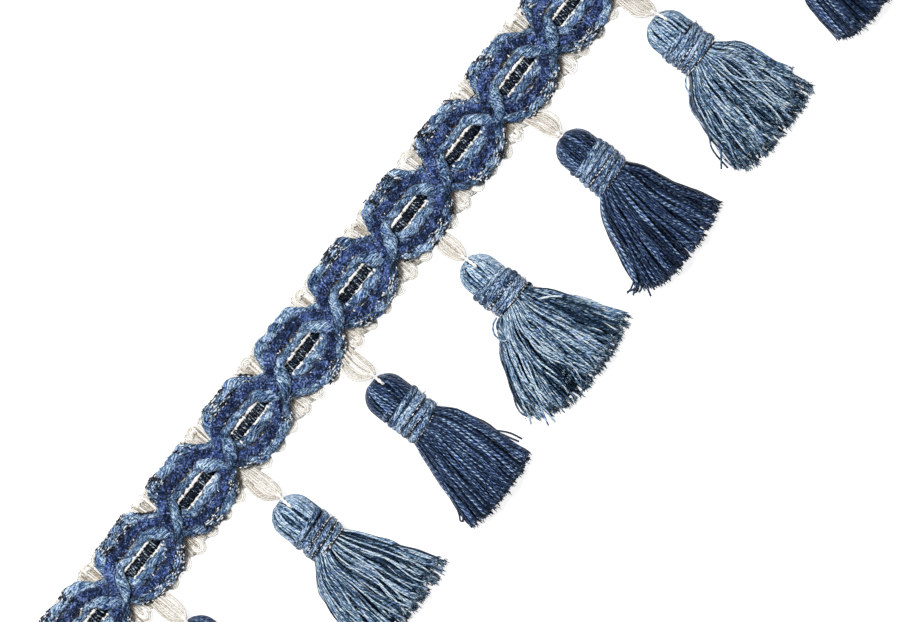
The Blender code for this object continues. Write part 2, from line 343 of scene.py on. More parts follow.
def tint_value(tree):
    """The shade of each thread, from its attribute tint."""
    node = tree.nodes.new("ShaderNodeAttribute")
    node.attribute_name = "tint"
    return node.outputs["Fac"]


def yarn_finish(name, shades, plies, pitch, valley_depth_and_shade, fibres, streak, mottle, speckle, relief, roughness,
                sheen=0.0, specular=0.5, gloss=(1.0, 1.0, 1.0), patch=None):
    """Twisted yarn, from its UV map and tint. A ply's crest is |sin(pi (plies * u + v / pitch))|.

    Fibres are noise on the circle (cos, sin) of that twist, and streak is their contrast: random tone
    with painted glints where it is brightest. Mottle is that of a slow change along the yarn, and speckle
    that of half-millimetre spots, random tone that also stands for painted glints. The shade is the tint
    with the three added, and valley is a painted shade: how dark it gets between plies, which leaves the
    crests as painted highlights. It also deepens the bump there. A patch colour shows here and there.
    """
    finish, shader, tree = new_finish(name, roughness, sheen, specular, gloss)
    u, v, _ = axes(tree, tree.nodes.new("ShaderNodeUVMap").outputs["UV"])
    tint = tint_value(tree)

    twist = calc(tree, "MULTIPLY_ADD", u, plies, calc(tree, "DIVIDE", v, pitch))
    crest = calc(tree, "ABSOLUTE", calc(tree, "SINE", calc(tree, "MULTIPLY", twist, math.pi)))
    turn = calc(tree, "MULTIPLY", twist, math.tau / plies)
    ring_x = calc(tree, "MULTIPLY", calc(tree, "COSINE", turn), fibres)
    ring_y = calc(tree, "MULTIPLY", calc(tree, "SINE", turn), fibres)
    far = calc(tree, "MULTIPLY_ADD", v, 0.6, calc(tree, "MULTIPLY", tint, 9.0))
    fibre = noise_value(tree, (ring_x, ring_y, far), 1.0)
    drift = calc(tree, "MULTIPLY", v, 0.22)
    slow = noise_value(tree, (0.0, drift, calc(tree, "MULTIPLY", tint, 5.0)), 1.0)
    spots = noise_value(tree, object_place(tree), SPOTS_PER_MM / MM)

    body = tint
    # The fibre streaks and spots are random tone, with painted glints where they are brightest.
    for uneven, contrast in ((fibre, streak), (slow, mottle), (spots, speckle)):
        body = calc(tree, "MULTIPLY_ADD", calc(tree, "SUBTRACT", uneven, 0.5), contrast, body)
    # Painted shade in the hollows between plies, which leaves the crests as painted highlights.
    depth = calc(tree, "MULTIPLY_ADD", crest, valley_depth_and_shade, 1.0 - valley_depth_and_shade)
    colour = shade_ramp(tree, calc(tree, "MULTIPLY", body, depth), shades)
    if patch:
        spot = calc(tree, "MULTIPLY", v, 0.35)
        spread = noise_value(tree, (spot, ring_x, calc(tree, "MULTIPLY", tint, 7.0)), 0.8)
        share = calc(tree, "MULTIPLY", calc(tree, "SUBTRACT", spread, 0.54), 7.0)
        mix = tree.nodes.new("ShaderNodeMix")
        mix.data_type = "RGBA"
        mix.blend_type = "MULTIPLY"
        feed(tree, (mix.inputs["Factor"], mix.inputs["A"]), (share, colour))
        mix.inputs["B"].default_value = (*patch, 1.0)
        colour = mix.outputs["Result"]
    tree.links.new(colour, shader.inputs["Base Color"])
    height = calc(tree, "MULTIPLY_ADD", fibre, 0.8, calc(tree, "MULTIPLY", crest, valley_depth_and_shade))
    bump_normal(tree, height, relief, shader)
    return finish


cream_yarn = yarn_finish("cream_cotton", CREAM_SHADES, plies=2, pitch=1.0, valley_depth_and_shade=0.25, fibres=1.2,
                         streak=1.6, mottle=0.5, speckle=0.6, relief=0.10, roughness=0.75, sheen=0.2,
                         specular=0.3)


def picot_rings(side, reach):
    """Half ellipses and a little more: x = middle + half width * cos a, y = foot + rise * sin a.

    Each thread of a picot is PICOT_NEST smaller than the one outside it.
    """
    a = np.linspace(-0.25, math.pi + 0.25, 9)
    level = np.arange(PICOT_THREADS)[None, :, None]
    size = rng.uniform(0.90, 1.08, (picot_count, 1, 1))
    middle = ground_low[0] + CHAIN_SHIFT + PICOT * (np.arange(picot_count) + 1)
    middle = middle + rng.normal(0, 0.15, picot_count)
    x = middle[:, None, None] + (PICOT_HALF - PICOT_NEST * level) * size * np.cos(a)
    rise = (reach - PICOT_FOOT - PICOT_NEST * level) * size
    y = PICOT_FOOT + rise * np.sin(a)
    z = PICOT_REST + 0.25 * level + 0.15 * np.sin(a) + rng.normal(0, 0.06, (picot_count, PICOT_THREADS, 1))
    path = points(x, y * side, z).reshape(-1, len(a), 3)
    return tube_rings(path, UP, rng.uniform(0.26, 0.36, (len(path), 1)), 5)


def fan_rings(side, foot, spread, reach):
    """Threads side by side from the foot of a notch out to its picots, with f from -1 to 1.

    x = middle + f * (a width that grows from FAN_FOOT to the spread), y = foot + (reach - foot) * s, and
    the reach is shorter by 0.9 f^2.
    """
    s = np.linspace(0, 1, 8)
    f = np.linspace(-1, 1, FAN_THREADS)[None, :, None]
    middle = CHAIN_SHIFT + RING * (np.arange(NOTCHES) - (NOTCHES - 1) / 2)[:, None, None]
    across, lift = rng.normal(0, 0.08, (2, NOTCHES, FAN_THREADS, 1))
    x = middle + f * (FAN_FOOT + (spread - FAN_FOOT) * s ** 0.8) + across
    y = foot + (reach - 0.9 * f ** 2 - foot) * s
    z = GROUND_TOP + 0.35 - 0.5 * s ** 3 + lift
    path = points(x, y * side, z).reshape(-1, len(s), 3)
    return tube_rings(path, UP, rng.uniform(0.20, 0.32, (len(path), 1)), 5)


picots = np.concatenate([picot_rings(side, reach) for side, reach, *_ in EDGES])
thread_piece("picots", picots, rng.uniform(0.55, 1.15, len(picots)), cream_yarn, "heading_cream", underside_shade=0.4)
fans = np.concatenate([fan_rings(side, *notch) for side, _, *notch in EDGES])
thread_piece("notch_threads", fans, rng.uniform(0.15, 1.0, len(fans)), cream_yarn, "heading_cream",
             underside_shade=0.3)

# Chain: two bands that cross at the waists between rings, each a pale, a navy and a pale yarn side by
# side. At a crossing the upper pale yarn goes underneath, the navy chenille over it, and the lower pale
# yarn on top.
BAR_AXIS = (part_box("band_a")[0].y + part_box("band_a")[1].y) / 2 / MM + 0.2
PATH_STEP = 0.42
PLY_RADIUS = 0.90
PLY_TURN = 0.44
PLY_PITCH = 8.5
PLY_FLAT = 0.82
SLEEVE_RADIUS = 1.32
SLEEVE_FLAT = 0.84
FUZZ_FIBRES = 1000
CHENILLE_RADIUS = 1.38
CHENILLE_FLAT = 0.75
CHENILLE_SIDES = 14
TUFTS = 2700
BANDS = (
    # name, and whether it runs above the bar (1) or below it (-1) in the middle ring
    ("band_a", 1),
    ("band_b", -1),
)
# The run of a yarn from the top of one ring, past the waist at 0, to the bottom of the next ring
RUN_AT = (-11.43, -8.5, -6.5, -5.0, -3.5, -2.0, 0.0, 2.0, 3.5, 5.0, 6.5, 8.5, 11.43)
PALE_YARNS = (
    # name, at each place how far it is from the bar's middle in a falling band and in a rising one, how high
    # it lies and its size
    ("upper", (9.3, 9.4, 9.4, 9.0, 7.0, 5.3, 4.5, 3.3, 0.9, -1.6, -2.8, -3.2, -3.1),
     (9.3, 9.4, 9.4, 9.4, 6.6, 3.2, 1.5, 0.0, -1.4, -2.6, -3.2, -3.2, -3.1),
     (2.6, 2.6, 2.6, 2.6, 2.5, 2.3, 2.1, 2.0, 2.0, 2.2, 2.5, 2.6, 2.6),
     (1.26, 1.30, 1.34, 1.30, 1.14, 0.98, 0.85, 0.8, 0.85, 1.0, 1.1, 1.15, 1.15)),
    ("lower", (3.2, 3.2, 3.3, 3.0, 0.8, -1.4, -3.6, -5.4, -6.7, -7.6, -8.3, -9.0, -9.2),
     (3.2, 3.2, 3.3, 2.7, 0.2, -1.9, -3.8, -5.4, -6.7, -7.6, -8.3, -9.0, -9.2),
     (2.6, 2.7, 3.2, 3.9, 4.4, 4.6, 4.5, 4.1, 3.4, 2.8, 2.6, 2.6, 2.6),
     (0.86, 0.88, 0.92, 1.05, 1.52, 1.30, 0.78, 0.82, 0.95, 1.0, 1.05, 1.05, 1.05)),
)
NAVY_FALLING = (6.3, 6.4, 6.3, 5.9, 5.0, 3.6, 1.3, -1.5, -3.7, -5.1, -5.9, -6.4, -6.4)
NAVY_RISING = (6.3, 6.4, 6.3, 6.1, 4.6, 2.5, 0.3, -2.0, -3.8, -5.1, -5.9, -6.4, -6.4)
NAVY_HEIGHTS = (2.5, 2.6, 2.9, 3.3, 3.7, 3.8, 3.8, 3.8, 3.6, 3.2, 2.8, 2.6, 2.5)
BULKY_SHADES = ((0.0, (0.003, 0.007, 0.018)), (0.25, (0.020, 0.045, 0.100)), (0.5, (0.086, 0.162, 0.295)),
                (0.75, (0.21, 0.34, 0.50)), (1.0, (0.68, 0.82, 0.92)))
CHENILLE_SHADES = ((0.0, (0.003, 0.007, 0.022)), (0.35, (0.027, 0.050, 0.143)), (0.6, (0.080, 0.138, 0.350)),
                   (0.85, (0.17, 0.27, 0.55)), (1.0, (0.34, 0.45, 0.72)))
ULTRAMARINE = (0.42, 0.50, 0.98)
DENIM_GLOSS = (0.55, 0.75, 1.0)
BULKY_LOOK = {"plies": 1, "valley_depth_and_shade": 0.0, "relief": 0.30, "roughness": 0.9, "sheen": 0.1, "specular": 0.12,
              "gloss": DENIM_GLOSS, "patch": ULTRAMARINE}
bulky_yarn = yarn_finish("bulky_denim_yarn", BULKY_SHADES, pitch=9.0, fibres=4.2, streak=2.6, mottle=0.8,
                         speckle=1.7, **BULKY_LOOK)
chenille_pile = yarn_finish("navy_chenille", CHENILLE_SHADES, plies=1, pitch=3.0, valley_depth_and_shade=0.0, fibres=1.6,
                            streak=1.6, mottle=0.8, speckle=2.3, relief=0.25, roughness=0.85, sheen=0.15,
                            specular=0.2, gloss=DENIM_GLOSS, patch=ULTRAMARINE)


def smooth_step(value):
    """Runs from 0 to 1 as value does, with level ends: 3 v^2 - 2 v^3."""
    value = np.clip(value, 0, 1)
    return value * value * (3 - 2 * value)


def softened_curve(places, values, at, soft=1.6):
    """The values read along the places, each corner rounded by a Gaussian mean over the soft distance."""
    fine = np.linspace(places[0] - 4 * soft, places[-1] + 4 * soft, 600)
    line = np.interp(fine, places, values)
    reach = np.arange(-40, 41) * (fine[1] - fine[0])
    weight = np.exp(-0.5 * (reach / soft) ** 2)
    padded = np.pad(line, 40, mode="edge")
    return np.interp(at, fine, np.convolve(padded, weight / weight.sum(), mode="valid"))


def slow_noise(count, steps, span, seed):
    """Smooth random values of -1 to 1 for each thread: a new value every span steps, eased between."""
    draw = np.random.default_rng(seed)
    knots = draw.uniform(-1, 1, (count, int(steps / span) + 3))
    at = np.arange(steps) / span + draw.uniform(0, 1)
    low = at.astype(int)
    part = smooth_step(at - low)
    return knots[:, low] * (1 - part) + knots[:, low + 1] * part


def skin_noise(count, steps, sides, span, lumps, seed):
    """Slow noise that also changes round each thread, with that many lumps, and meets where it closes."""
    along = np.stack([slow_noise(count, steps, span, seed + lump) for lump in range(lumps)], -1)
    at = np.arange(sides) * lumps / sides
    low = at.astype(int)
    part = smooth_step(at - low)
    return along[:, :, low] * (1 - part) + along[:, :, (low + 1) % lumps] * part


def band_run(side, falling, rising, heights):
    """A yarn of a band: its level and height, read from the runs at its distance from the nearest waist.

    A falling band is read from left to right, and a rising one from right to left. At the crossing the
    rising one is lifted a little and the falling one pressed down. Returns the path and that distance.
    """
    x = np.linspace(-TRIM_LENGTH / 2, TRIM_LENGTH / 2, int(TRIM_LENGTH / PATH_STEP))
    ring = np.floor((x - CHAIN_SHIFT) / RING)
    falls = np.where((ring % 2 == 0) == (side > 0), 1, -1)
    at = ((x - CHAIN_SHIFT) / RING - ring - 0.5) * RING * falls
    lifted = -0.35 * falls * smooth_step((3.5 - np.abs(at)) / 1.5)
    fallen, risen = (softened_curve(RUN_AT, levels, at, 0.6) for levels in (falling, rising))
    height = softened_curve(RUN_AT, heights, at, 0.7) + lifted
    return points(x, BAR_AXIS + np.where(falls > 0, fallen, risen), height)[None], at


def plied_rings(path, outward, ply_radius, turn_radius, pitch, sides, flat, seed):
    """Two plies: each runs at turn_radius round the path, once every pitch.

    A ply is thick where it comes on top, thin underneath, and uneven besides. Also returns how far each
    point lies out from the yarn's middle, as a share above or below the mean.
    """
    count, steps, _ = path.shape
    gone = np.cumsum(np.linalg.norm(np.gradient(path, axis=1), axis=-1), axis=1)
    out, cross = path_sides(path, outward, 0.0)
    turn = math.tau * gone / pitch + 1.1 * slow_noise(count, steps, 14, seed)
    made = []
    for ply in range(2):
        angle = turn + math.pi * ply
        circle = flat * np.cos(angle)[..., None] * out + np.sin(angle)[..., None] * cross
        slub = (1 + 0.22 * np.cos(angle) + 0.20 * slow_noise(count, steps, 9, seed + 7 + ply)
                + 0.12 * slow_noise(count, steps, 4, seed + 17 + ply))
        lumps = 1 + 0.14 * skin_noise(count, steps, sides, 3, 4, seed + 37 + 5 * ply)
        reach = (turn_radius * (1 + 0.15 * slow_noise(count, steps, 6, seed + 27 + ply)))[..., None]
        thick = (ply_radius * slub)[..., None] * lumps
        made.append(tube_rings(path + reach * circle, out, thick, sides, flat))
    rings = np.concatenate(made)
    reach = np.linalg.norm(rings - path[0][:, None], axis=-1)
    return rings, reach / reach.mean() - 1


def hair_rings(rings, count, length, lean, radius, seed, steps=3, curl=0.35, low=0.0, taper=0.6, sink=0.1):
    """Loose fibres: each starts on a ring's point, leans out of it and along the yarn, and curls on its way.

    The path is foot + length * (t * ((1 - lean) * out + lean * along) + t^2 * curl), sunk a little at its
    foot, and the taper is how much it thins. Feet keep the share low of the way round off the underside.
    """
    draw = np.random.default_rng(seed)
    thread = draw.integers(0, rings.shape[0], count)
    step = draw.integers(1, rings.shape[1] - 2, count)
    side = draw.integers(round(low * rings.shape[2]), round((1 - low) * rings.shape[2]), count)
    foot = rings[thread, step, side]
    out = unit(foot - rings[thread, step].mean(axis=1))
    along = unit(rings[thread, step + 1, side] - foot, 1e-9)
    along *= draw.choice([-1, 1], count)[:, None]
    reach = (draw.uniform(0.4, 1.0, (count, 1)) * length)[:, None]
    bend = draw.normal(0, curl, (count, 3))
    t = np.linspace(0, 1, steps)[None, :, None]
    first = (out * (1 - lean) + along * lean)[:, None]
    path = foot[:, None] - sink * out[:, None] + reach * (t * first + t ** 2 * bend[:, None])
    path[..., 2] = np.maximum(path[..., 2], 0.2)
    return tube_rings(path, bend[:, None] + 0.01, radius * (1 - taper * t[..., 0]), 3)


def tuft_rings(rings, count, seed):
    """Pile: short thick fibres that cover the upper side of a core, each leaning its own way.

    The path is foot + length * t * (0.4 * out + scatter). Also returns each foot's step and side.
    """
    draw = np.random.default_rng(seed)
    step = draw.integers(1, rings.shape[1] - 2, count)
    side = draw.integers(round(0.2 * rings.shape[2]), round(0.8 * rings.shape[2]) + 1, count)
    foot = rings[0, step, side] + draw.normal(0, 0.2, (count, 3))
    out = foot - rings[0, step].mean(axis=1)
    out = 0.4 * out / np.linalg.norm(out, axis=-1, keepdims=True) + draw.normal(0, 0.55, (count, 3))
    t = np.linspace(-0.3, 1, 3)[None, :, None]
    path = foot[:, None] + draw.uniform(0.5, 1.1, (count, 1, 1)) * t * out[:, None]
    radius = draw.uniform(0.18, 0.34, (count, 1)) * np.array([0.7, 1.0, 0.5])
    return tube_rings(path, (1, 0, 0), radius, 3), step, side


sleeves = []
chain_fuzz = []
for number, (band, side) in enumerate(BANDS):
    for place, (name, falling, rising, heights, sizes) in enumerate(PALE_YARNS):
        seed = 400 + 200 * number + 100 * place
        path, at = band_run(side, falling, rising, heights)
        full = softened_curve(RUN_AT, sizes, at, 0.5)
        # The plies are drawn together ahead of each waist, and the lower yarn has painted shade just past it.
        gathered = np.exp(-((at + 3.4) / 1.7) ** 2)
        path[..., 1] += 0.25 * slow_noise(1, path.shape[1], 7, seed + 3)
        rings, crest = plied_rings(path, UP, PLY_RADIUS * full * (1 + 0.22 * gathered),
                                   PLY_TURN * full * (1 - 0.85 * gathered), PLY_PITCH, 10, PLY_FLAT, seed)
        sleeves.append(tube_rings(path, UP, SLEEVE_RADIUS * full, 16, SLEEVE_FLAT))
        # Painted light and shade: darker where the plies lie inwards, lighter where they stand out.
        tints = (0.46 + 0.15 * slow_noise(len(rings), rings.shape[1], 9, seed + 1)[..., None]
                 + 0.55 * np.clip(crest + 0.08, -1, 0.25)
                 + 0.14 * skin_noise(*rings.shape[:3], 3, 6, seed + 60))
        # Painted shade on the lower yarn just past the waist.
        tints = tints - 0.26 * place * np.exp(-((at - 1.0) / 2.4) ** 2)[None, :, None]
        thread_piece(f"{band}_{name}", rings, tints, bulky_yarn, "chain_blue", [band], underside_shade=0.3)
        chain_fuzz.append(hair_rings(rings, FUZZ_FIBRES, length=2.0, lean=0.85, radius=0.12, seed=seed + 2,
                                     low=0.2))
    seed = 900 + 50 * number
    path, at = band_run(side, NAVY_FALLING, NAVY_RISING, NAVY_HEIGHTS)
    steps = path.shape[1]
    clumps = (0.7 * skin_noise(1, steps, CHENILLE_SIDES, 3.6, 5, seed)
              + 0.45 * skin_noise(1, steps, CHENILLE_SIDES, 1.6, 7, seed + 10))
    core = tube_rings(path, UP, CHENILLE_RADIUS + 0.26 * clumps, CHENILLE_SIDES, CHENILLE_FLAT)
    # Painted shade: the core is darker than its pile, and painted light: lighter where its lumps swell.
    thread_piece(f"{band}_chenille", core, 0.22 + 0.42 * clumps, chenille_pile, "chain_blue", [band],
                 underside_shade=0.3)
    tufts, step, around = tuft_rings(core, TUFTS, seed + 20)
    draw = np.random.default_rng(seed + 21)
    # Tufts on the core's swells are lighter: painted light over random tone.
    shades = 0.62 + 0.70 * clumps[0, step, around] + draw.normal(0, 0.24, len(tufts))
    # Each tuft darkens towards its root: painted shade where it goes into the core.
    shades = shades[:, None] + np.array([-0.3, 0.0, -0.05])
    thread_piece(f"{band}_pile", tufts, np.clip(shades, 0, 1), chenille_pile, "chain_blue")
fuzz = np.concatenate(chain_fuzz)
thread_piece("chain_fuzz", fuzz, rng.beta(0.8, 0.8, len(fuzz)), bulky_yarn, "chain_blue")

# Tinsel: short black flecks of a foil-wrapped binder that holds the outer yarns, and bright flecks
# that are painted glints of its foil. They lie in patches on the outer side of each ring.
FLECKS = (
    # shade, how many on each pale yarn, length, radius, and how far their feet are sunk: below 0 is raised
    (0.1, 2500, 1.5, 0.24, -0.05),
    (0.9, 1600, 0.9, 0.21, -0.15),
)
OUTER_OFF = 6.2
GLITTER_LEAST = -0.05
# The top of the ramp is near white: painted glints of the foil.
TINSEL_SHADES = ((0.0, (0.002, 0.003, 0.008)), (0.5, (0.01, 0.014, 0.03)), (0.6, (0.80, 0.85, 0.92)),
                 (1.0, (1.0, 1.0, 1.0)))
tinsel, tinsel_shader, tinsel_tree = new_finish("tinsel", 0.30, specular=0.8)
tinsel_colour = shade_ramp(tinsel_tree, tint_value(tinsel_tree), TINSEL_SHADES)
tinsel_tree.links.new(tinsel_colour, tinsel_shader.inputs["Base Color"])
flecks = []
shades = []
for place, sleeve in enumerate(sleeves):
    for shade, amount, length, radius, sink in FLECKS:
        flecks.append(hair_rings(sleeve, amount, length, lean=0.9, radius=radius,
                                 seed=200 + 10 * place + round(shade), steps=2, curl=0.15, low=0.2,
                                 taper=0.1, sink=sink))
        shades.append(np.full(amount, shade))
flecks = np.concatenate(flecks)
shades = np.concatenate(shades)
foot = flecks[:, 0].mean(axis=1)
outer = np.abs(foot[:, 1] - BAR_AXIS) + rng.normal(0, 0.9, len(foot))
glitter = slow_noise(2, int(TRIM_LENGTH) + 2, 3.5, 240)
is_upper = (foot[:, 1] > BAR_AXIS).astype(int)
glitter = glitter[is_upper, (foot[:, 0] - ground_low[0]).astype(int)]
is_shown = (outer > OUTER_OFF) & (glitter > GLITTER_LEAST)
thread_piece("chain_tinsel", flecks[is_shown], shades[is_shown], tinsel, "chain_blue")

# Bar: a dark cord down the middle, closely bound with fine thread, that shows inside each ring.
# Under the crossings it is pressed flat.
BAR_HALF = 1.25
BAR_PRESSED = 0.5
BAR_RISE = 0.9
BAR_OPEN = 6.3
BAR_CORE_RADIUS = 1.3
BAR_CORE_FLAT = 0.42
RIB = 0.70
INK_SHADES = ((0.0, (0.0015, 0.002, 0.004)), (0.45, (0.004, 0.007, 0.016)), (0.7, (0.05, 0.075, 0.12)),
              (1.0, (0.60, 0.68, 0.75)))
ink_thread = yarn_finish("ink_binding", INK_SHADES, plies=2, pitch=1.1, valley_depth_and_shade=0.4, fibres=1.0, streak=2.8,
                         mottle=0.5, speckle=1.8, relief=0.08, roughness=0.5, specular=0.12,
                         gloss=DENIM_GLOSS)


def bar_height(x):
    """The cord's height at x: BAR_PRESSED under a crossing, and BAR_RISE more inside a ring."""
    away = np.abs(np.mod(x - CHAIN_SHIFT + RING / 2, RING) - RING / 2)
    return BAR_PRESSED + BAR_RISE * smooth_step((BAR_OPEN - away) / 1.2)


def bar_rings():
    """Half hoops across the cord: y = half * cos a, z = rest + height * sin a, one at every rib."""
    x = np.arange(ground_low[0] + RIB, ground_high[0] - RIB / 2, RIB)
    draw = np.random.default_rng(23)
    a = np.linspace(0, math.pi, 7)
    lean = draw.normal(0.12, 0.12, (len(x), 1))
    place = x[:, None] + lean * np.cos(a) + draw.normal(0, 0.06, (len(x), 1))
    tall = bar_height(x)[:, None] + draw.normal(0, 0.07, (len(x), 1))
    path = points(place, BAR_AXIS + BAR_HALF * np.cos(a), GROUND_TOP + 0.2 + tall * np.sin(a) ** 0.6)
    return tube_rings(path, points(0, np.cos(a), np.sin(a)), draw.uniform(0.19, 0.27, (len(x), 1)), 5)


bar = bar_rings()
thread_piece("bar", bar, 0.5 * rng.beta(1.1, 1.1, len(bar)) + 0.48, ink_thread, "cord_ink",
             ["centre_cord"], underside_shade=0.9)
core_x = np.linspace(ground_low[0] + 0.3, ground_high[0] - 0.3, 260)
core_path = points(core_x, BAR_AXIS, GROUND_TOP + 0.3 + 0.45 * bar_height(core_x))[None]
core_level = core_path[..., None, 2]
bar_core = tube_rings(core_path, (0, 1, 0), BAR_CORE_RADIUS, 8)
bar_core[..., 2] = core_level + (bar_core[..., 2] - core_level) * BAR_CORE_FLAT
thread_piece("bar_core", bar_core, [0.0], ink_thread, "cord_ink", ["centre_cord"])

# Stitches: a cream thread down each side of the bar, with a white knot every 1.9 mm, ties the cord to
# the tape. The same thread shows here and there as a small white stitch between the chain's yarns.
STITCH_OFF = 1.62
KNOT = RING / 12
STITCH_STEPS = 560
STITCH_RADII = (0.22, 0.22, 0.30, 0.30)
stitch_x = np.linspace(ground_low[0] + 0.5, ground_high[0] - 0.5, STITCH_STEPS)
stitch_paths = []
for side in (-1, 1):
    for strand in (0, 1):
        off = 0.06 + side * STITCH_OFF
        turn = stitch_x * math.tau / 2.2 + strand * math.pi + side
        wobble = 0.14 * np.cos(turn) + 0.12 * slow_noise(1, STITCH_STEPS, 6, 60 + side)[0]
        level = GROUND_TOP + 1.25 + 0.2 * side + 0.18 * np.sin(turn)
        stitch_paths.append(points(stitch_x, BAR_AXIS + off + wobble, level))
beads = slow_noise(4, STITCH_STEPS, 1.6, 70)
stitch_thick = np.array(STITCH_RADII)[:, None] * (1 + 0.8 * beads)
stitch_rings = tube_rings(np.array(stitch_paths), UP, stitch_thick, 5)
thread_piece("stitch_threads", stitch_rings, 0.80 + 0.6 * beads, cream_yarn, "heading_cream", underside_shade=0.4)


def knot_rings(middles, lengths, radii):
    """Short plump threads across the trim: they rise in the middle, and thin towards both ends.

    Each has a length and a radius between the two that are given.
    """
    x, y, z = middles.T[..., None]
    length = rng.uniform(*lengths, x.shape)
    radius = rng.uniform(*radii, x.shape)
    lean = rng.normal(0.1, 0.25, x.shape)
    a = np.linspace(0, 1, 5)
    path = points(x + lean * (a - 0.5), y + length * (0.5 - a), z + 0.3 * np.sin(math.pi * a))
    return tube_rings(path, UP, radius * (0.35 + 0.65 * np.sin(math.pi * a)), 6)


knot_x = np.arange(ground_low[0] + KNOT / 2, ground_high[0], KNOT)
knots = []
for side in (-1, 1):
    x = knot_x + rng.normal(0, 0.25, len(knot_x))
    y = BAR_AXIS + side * (STITCH_OFF + rng.uniform(-0.1, 0.25, len(knot_x)))
    knots.append(knot_rings(points(x, y, GROUND_TOP + 1.6), lengths=(0.7, 1.3), radii=(0.28, 0.44)))
for _, side in BANDS:
    for _, falling, rising, _, _ in PALE_YARNS:
        between = (np.array([falling, rising]) + np.array([NAVY_FALLING, NAVY_RISING])) / 2
        path, at = band_run(side, *between, NAVY_HEIGHTS)
        chosen = np.round(np.linspace(4, path.shape[1] - 5, len(knot_x))).astype(int)
        chosen = chosen[(np.abs(at[chosen]) > 5.5) & (rng.uniform(0, 1, len(chosen)) < 0.16)]
        chosen = path[0][chosen] + rng.normal(0, (0.5, 0.3, 0), (len(chosen), 3))
        chosen[:, 2] += rng.uniform(0.6, 0.95, len(chosen))
        knots.append(knot_rings(chosen, lengths=(0.4, 0.9), radii=(0.12, 0.24)))
knots = np.concatenate(knots)
thread_piece("stitch_knots", knots, np.full(len(knots), 1.1), cream_yarn, "heading_cream")

# Tassels: seven, one every 40 mm. Each hangs from a petal of cream threads that comes out under the chain
# and is drawn in to a thin tie. The tie goes over the tassel's head and in between its threads.
TASSELS = 7
TASSEL_PITCH = 40.0
AXIS_HEIGHT = 5.6
HEAD_TOP = -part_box("tassel_3")[1].y / MM
HEAD_RADIUS = 5.75
HEAD_DOME = 5.4
HEADS = (
    # how far the head lies off its place, its size, where its wrap starts and ends, and its shade
    (0.0, 1.00, 27.1, 37.1, 0.61),
    (-0.2, 1.04, 27.9, 37.4, 0.89),
    (-0.2, 1.05, 27.3, 37.4, 0.61),
    (-0.2, 0.96, 27.0, 36.7, 0.90),
    (1.0, 0.99, 26.8, 37.2, 0.62),
    (-0.1, 1.03, 26.8, 36.2, 0.81),
    (0.0, 1.00, 27.1, 37.1, 0.61),
)
LOOP_THREADS = 9
LOOPS = (
    # middle and half width at the chain, middle and half width halfway, where the tie lies and ends
    (0.6, 2.2, 0.7, 2.8, 1.2, 22.9),
    (0.8, 2.6, 0.7, 2.9, 1.8, 23.2),
    (1.1, 2.6, 0.5, 3.1, 1.7, 22.4),
    (0.9, 1.4, 0.55, 2.4, 0.6, 22.9),
    (0.4, 2.0, 1.7, 2.7, 1.2, 19.6),
    (0.9, 2.4, 0.9, 2.7, 1.6, 22.8),
    (0.6, 2.2, 0.7, 2.7, 0.9, 22.9),
)
LOOP_DEPTHS = (9.0, 12.6, 15.7, 17.6, 18.9)
LOOP_LEVELS = (2.2, 2.8, 3.9, 5.0, 5.7)
TIE_TURN = 2.6


def tassel_place(number):
    """Where a tassel hangs: one every TASSEL_PITCH, with the middle one at 0."""
    return (number - (TASSELS - 1) / 2) * TASSEL_PITCH


def dome_radius(depth):
    """The head's radius: an ellipse from the pole at HEAD_TOP to the full radius at HEAD_DOME below it."""
    share = np.clip((depth - HEAD_TOP) / HEAD_DOME, 0, 1)
    return HEAD_RADIUS * np.sqrt(1 - (1 - share) ** 2)


def loop_rings(x, loop, seed):
    """Threads side by side: x = middle + half width * f, with both read along the depth, in two layers."""
    draw = np.random.default_rng(seed)
    top_middle, top_half, middle, half, tie, _ = loop
    count, steps = LOOP_THREADS, 16
    depth = np.linspace(LOOP_DEPTHS[0], LOOP_DEPTHS[-1], steps)[None]
    f = np.linspace(-1, 1, count)[:, None] + draw.normal(0, 0.05, (count, 1))
    layer = np.where(np.arange(count) % 2 == 0, 0.5, -0.5)[:, None] * draw.uniform(0.6, 1.3, (count, 1))
    middles = (top_middle, middle, middle, 0.4 * middle + 0.6 * tie, tie)
    halves = (top_half, half, 0.97 * half, 0.66 * half, 0.30)
    centre = softened_curve(LOOP_DEPTHS, middles, depth, 0.7)
    width = softened_curve(LOOP_DEPTHS, halves, depth, 0.5)
    level = softened_curve(LOOP_DEPTHS, LOOP_LEVELS, depth, 0.8)
    across = centre + width * f + 0.12 * slow_noise(count, steps, 4, seed + 1)
    height = level + width / half * (layer - 0.5 * f ** 2)
    path = points(x + across, -depth, height)
    return tube_rings(path, UP, 0.34 + 0.05 * slow_noise(count, steps, 3, seed + 2), 6)


def tie_rings(x, tie, end):
    """Two thin threads, twisted together, that climb the head's dome and dip in at their end."""
    depth = np.linspace(LOOP_DEPTHS[-1] - 1.2, end, 18)
    climb = dome_radius(np.maximum(depth + 0.5, HEAD_TOP + 0.05))
    inside = smooth_step(depth - end + 1.0)
    height = AXIS_HEIGHT + np.sqrt(np.maximum(climb ** 2 - tie ** 2, 0)) + 0.3 - 0.9 * inside
    turn = depth * math.tau / TIE_TURN + np.array([[0.0], [math.pi]])
    path = points(x + tie + 0.22 * np.cos(turn), -depth, height + 0.12 * np.sin(turn))
    return tube_rings(path, UP, 0.27 * (1 - 0.4 * inside), 6)


